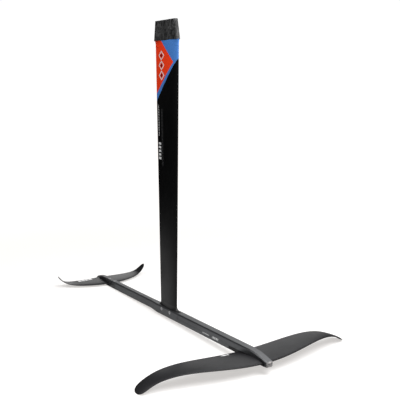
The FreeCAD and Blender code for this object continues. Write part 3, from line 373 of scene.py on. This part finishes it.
fuselage_low, fuselage_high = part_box("fuselage")
fuselage_finish, tree, shader = make_finish("black_anodised_aluminium", ANODISE_METALLIC, 0.4, 0.5)
_, y, z = surface_axes(tree)
milling = cloud(tree, 0.0006, (1, 0.01, 1), 2)
blast = cloud(tree, 0.0004, (1, 1, 1), 2)
blots = cloud(tree, 0.05, (1, 0.5, 1), 4)
slow = combine(tree, "MULTIPLY", blots, 1 - MILLING_SHARE)
shade = combine(tree, "MULTIPLY_ADD", milling, MILLING_SHARE, slow)
tone = lay_over(tree, spread(tree, shade, 0.38, 0.62, 0, 1), ANODISE_DARK, ANODISE_LIGHT)
# Painted highlight: the nose's last few millimetres are brighter bare metal, partly worn anodising
# and partly painted in for the tip's highlight, broken up by scuffs.
scuffs_and_highlight = cloud(tree, 0.004, (1, 0.35, 1), 5)
nearness = combine(tree, "SUBTRACT", fuselage_low.y + WORN_HIGHLIGHT_LENGTH, y)
worn_and_highlight = combine(tree, "MULTIPLY", past(tree, nearness, 0, WORN_HIGHLIGHT_LENGTH), WORN_HIGHLIGHT_DEPTH)
worn_and_highlight = combine(tree, "MULTIPLY", worn_and_highlight, spread(tree, scuffs_and_highlight, 0.36, 0.56, 0, 1), clamp=True)
tone = lay_over(tree, worn_and_highlight, tone, BARE_METAL_HIGHLIGHT)

# Two rows of plain printed blocks on each side, where the surface is ink and not metal.
PRINT_MIDDLE_DROP = 0.0199               # below the bar's top
PRINT_ROWS = (
    # first and last place behind the nose, half height, pitch, fill
    (0.250, 0.284, 0.0034, 0.0088, 0.72),
    (0.302, 0.342, 0.0017, 0.0068, 0.62),
)
drop = combine(tree, "SUBTRACT", fuselage_high.z, z)
behind_nose = combine(tree, "SUBTRACT", y, fuselage_low.y)
bare = None
for first, last, half, pitch, fill in PRINT_ROWS:
    row = strip(tree, drop, PRINT_MIDDLE_DROP - half, PRINT_MIDDLE_DROP + half)
    marks = both(tree, row, rule_marks(tree, behind_nose, last, first, pitch, fill))
    tone = lay_over(tree, marks, tone, PRINT_WHITE)
    unprinted = combine(tree, "SUBTRACT", 1.0, marks)
    bare = unprinted if bare is None else both(tree, bare, unprinted)
tree.links.new(combine(tree, "MULTIPLY", bare, ANODISE_METALLIC), shader.inputs["Metallic"])
tree.links.new(tone, shader.inputs["Base Color"])
rough = combine(tree, "MULTIPLY_ADD", blast, 0.14, 0.33)
tree.links.new(rough, shader.inputs["Roughness"])
relief(tree, shader, combine(tree, "ADD", milling, blast), 0.00002)
dress(fuselage_finish, "fuselage")

# The same bar with its round nose and tapers shaded smooth between their crisp edges.
CRISP_EDGE = math.radians(24)
WELD = 0.00001
bar = bmesh.new()
bar.from_mesh(nodes["fuselage"].data)
bmesh.ops.remove_doubles(bar, verts=bar.verts, dist=WELD)
bmesh.ops.recalc_face_normals(bar, faces=bar.faces)
for face in bar.faces:
    face.smooth = True
for edge in bar.edges:
    edge.smooth = edge.calc_face_angle(math.pi) < CRISP_EDGE
blended_bar = bpy.data.objects.new("fuselage_bar", bpy.data.meshes.new("fuselage_bar"))
bar.to_mesh(blended_bar.data)
bar.free()
blended_bar.data.materials.append(fuselage_finish)
bpy.context.collection.objects.link(blended_bar)
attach(blended_bar, "foil")
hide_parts("fuselage")

# ------------------------------------------------------------------ the wings
# Carbon mouldings with fibres from tip to tip, sanded to an even satin, the tail glossier. Each
# has one short row of printed blocks by the trailing edge of its right half.

WING_DARK = (0.0105, 0.0105, 0.0115)
WING_LIGHT = (0.02, 0.02, 0.0215)
BLOCK_PITCH = 0.016
BLOCK_FILL = 0.84


def wing_finish(name, specular, roughness, bar_span, bar_chord, bar_height):
    """Satin carbon with one row of printed blocks on top, given by two x, two y and a least z."""
    finish, tree, shader = make_finish(name, 0.0, roughness, specular)
    x, y, z = surface_axes(tree)
    tone, fibre = carbon_tone(tree, WING_DARK, WING_LIGHT, "X")
    bar = both(tree, strip(tree, x, *bar_span), strip(tree, y, *bar_chord))
    bar = both(tree, bar, past(tree, z, bar_height))
    blocks = rule_marks(tree, x, bar_span[1], bar_span[0], BLOCK_PITCH, BLOCK_FILL)
    tone = lay_over(tree, both(tree, bar, blocks), tone, PRINT_WHITE)
    tree.links.new(tone, shader.inputs["Base Color"])
    gloss = spread(tree, fibre, 0.3, 0.7, roughness - 0.05, roughness + 0.05)
    tree.links.new(gloss, shader.inputs["Roughness"])
    relief(tree, shader, fibre, 0.000012)
    return finish


front_finish = wing_finish(
    "satin_front_wing", 0.22, 0.46, (-0.084, -0.056), (-0.4515, -0.4405), -0.9757)
dress(front_finish, "front_wing_shell")
tail_finish = wing_finish(
    "satin_tail_wing", 0.6, 0.33, (-0.110, -0.046), (0.543, 0.561), -0.9645)
dress(tail_finish, "tail_wing")

# ------------------------------------------------------------------ the tail's wedge
# A thin wedge cut from black plastic sheet, which sets the tail wing's angle. Only its edges
# show, between the fuselage and the tail wing's tongue.

WEDGE_DARK = (0.012, 0.012, 0.012)
WEDGE_LIGHT = (0.022, 0.022, 0.022)

shim_finish, tree, shader = make_finish("black_wedge_plastic", 0.0, 0.5, 0.45)
grain = cloud(tree, 0.0012, (1, 1, 1), 4)
tone = lay_over(tree, grain, WEDGE_DARK, WEDGE_LIGHT)
tree.links.new(tone, shader.inputs["Base Color"])
relief(tree, shader, grain, 0.00003)
dress(shim_finish, "tail_wing_shim")

# ------------------------------------------------------------------ floor, light and camera
# A white table that the foil stands on by its wing tips and its tail. One softbox hangs over
# the front, a dim one low behind it, a small one over the nose and one beside the mast.


def lowest(names, tilt):
    """The lowest vertex of some nodes, on ground that rises by tilt towards the tail."""
    places = (vertex.co for name in names for vertex in nodes[name].data.vertices)
    return min(places, key=lambda spot: spot.z - tilt * spot.y).copy()


CONTACT_ROUNDS = 6
TAIL_LEAN = 0.2                          # extra tilt, so the tail's own rear is what is found
tilt = 0.0
for _ in range(CONTACT_ROUNDS):
    tip = lowest(["front_wing_shell"], tilt)
    tail = lowest(["tail_wing", "fuselage"], tilt + TAIL_LEAN)
    tilt = (tail.z - tip.z) / (tail.y - tip.y)

FLOOR_HALF = 30.0
FLOOR_GAP = 0.0002
FLOOR_ALBEDO = 0.5                       # under the foil, falling to 0 from one radius to the next
POOL_INNER = 0.6
POOL_OUTER = 1.8
FLOOR_GLOW = 1.09                        # what the albedo and the glow add up to
SHADOW_TINT = (1, 0.97, 0.945, 1)
table = bmesh.new()
bmesh.ops.create_grid(table, x_segments=1, y_segments=1, size=FLOOR_HALF)
lean = Matrix.Rotation(math.atan(tilt), 4, "X")
settle = Matrix.Translation((0, 0, tip.z - tilt * tip.y - FLOOR_GAP))
bmesh.ops.transform(table, matrix=settle @ lean, verts=table.verts)
floor = bpy.data.objects.new("floor", bpy.data.meshes.new("floor"))
table.to_mesh(floor.data)
table.free()
bpy.context.collection.objects.link(floor)
floor_finish, tree, shader = make_finish("white_table", 0.0, 0.9, 0.0)
distance = tree.nodes.new("ShaderNodeVectorMath")
distance.operation = "LENGTH"
tree.links.new(surface_place(tree, (1, 1, 0)), distance.inputs[0])
lit = spread(tree, distance.outputs["Value"], POOL_INNER, POOL_OUTER, FLOOR_ALBEDO, 0.0)
tree.links.new(lay_over(tree, lit, (0, 0, 0), (1, 1, 1)), shader.inputs["Base Color"])
seen = tree.nodes.new("ShaderNodeLightPath").outputs["Is Camera Ray"]
unlit = combine(tree, "SUBTRACT", FLOOR_GLOW, lit)
shader.inputs["Emission Color"].default_value = SHADOW_TINT
tree.links.new(combine(tree, "MULTIPLY", seen, unlit), shader.inputs["Emission Strength"])
floor.data.materials.append(floor_finish)

ROOM_GLOW = 0.02
studio = bpy.data.worlds.new("studio")
studio.use_nodes = True
bpy.context.scene.world = studio
tree = studio.node_tree
backdrop = tree.nodes["Background"]
backdrop.inputs["Color"].default_value = (1, 1, 1, 1)
seen = tree.nodes.new("ShaderNodeLightPath").outputs["Is Camera Ray"]
tree.links.new(combine(tree, "MULTIPLY_ADD", seen, 1.0, ROOM_GLOW), backdrop.inputs["Strength"])

SOFTBOXES = (
    # name, place, aim, width, depth, watts
    ("overhead_softbox", (0.2, -1.3, 0.9), (0.1, -0.2, -1.0), 1.8, 1.8, 68),
    ("rear_softbox", (2.0, 2.6, -0.1), (0, 0, -0.95), 2.4, 1.6, 12),
    ("nose_softbox", (1.0, 0.2, 0.25), (0, -0.54, -0.96), 1.0, 0.8, 6),
    ("left_softbox", (-1.5, 0.0, 1.1), (0, 0, -0.3), 1.2, 1.2, 28),
)
for name, place, aim, width, depth, watts in SOFTBOXES:
    lamp = bpy.data.lights.new(name, "AREA")
    lamp.shape = "RECTANGLE"
    lamp.size = width
    lamp.size_y = depth
    lamp.energy = watts
    holder = bpy.data.objects.new(name, lamp)
    bpy.context.collection.objects.link(holder)
    holder.location = place
    holder.rotation_euler = (Vector(aim) - Vector(place)).to_track_quat("-Z", "Y").to_euler()
    holder.visible_camera = False

AIM = Vector((0.0692, -0.1003, -0.548))
DISTANCE = 2.4514
AZIMUTH = math.radians(-33.70)
ELEVATION = math.radians(8.92)
camera = bpy.data.objects.new("camera", bpy.data.cameras.new("camera"))
camera.data.lens = 63.32
bpy.context.collection.objects.link(camera)
toward_camera = Vector((
    math.sin(AZIMUTH) * math.cos(ELEVATION),
    -math.cos(AZIMUTH) * math.cos(ELEVATION),
    math.sin(ELEVATION),
))
camera.location = AIM + DISTANCE * toward_camera
camera.rotation_mode = "QUATERNION"
camera.rotation_quaternion = (-toward_camera).to_track_quat("-Z", "Y")
bpy.context.scene.camera = camera
bpy.context.scene.view_settings.view_transform = "Standard"
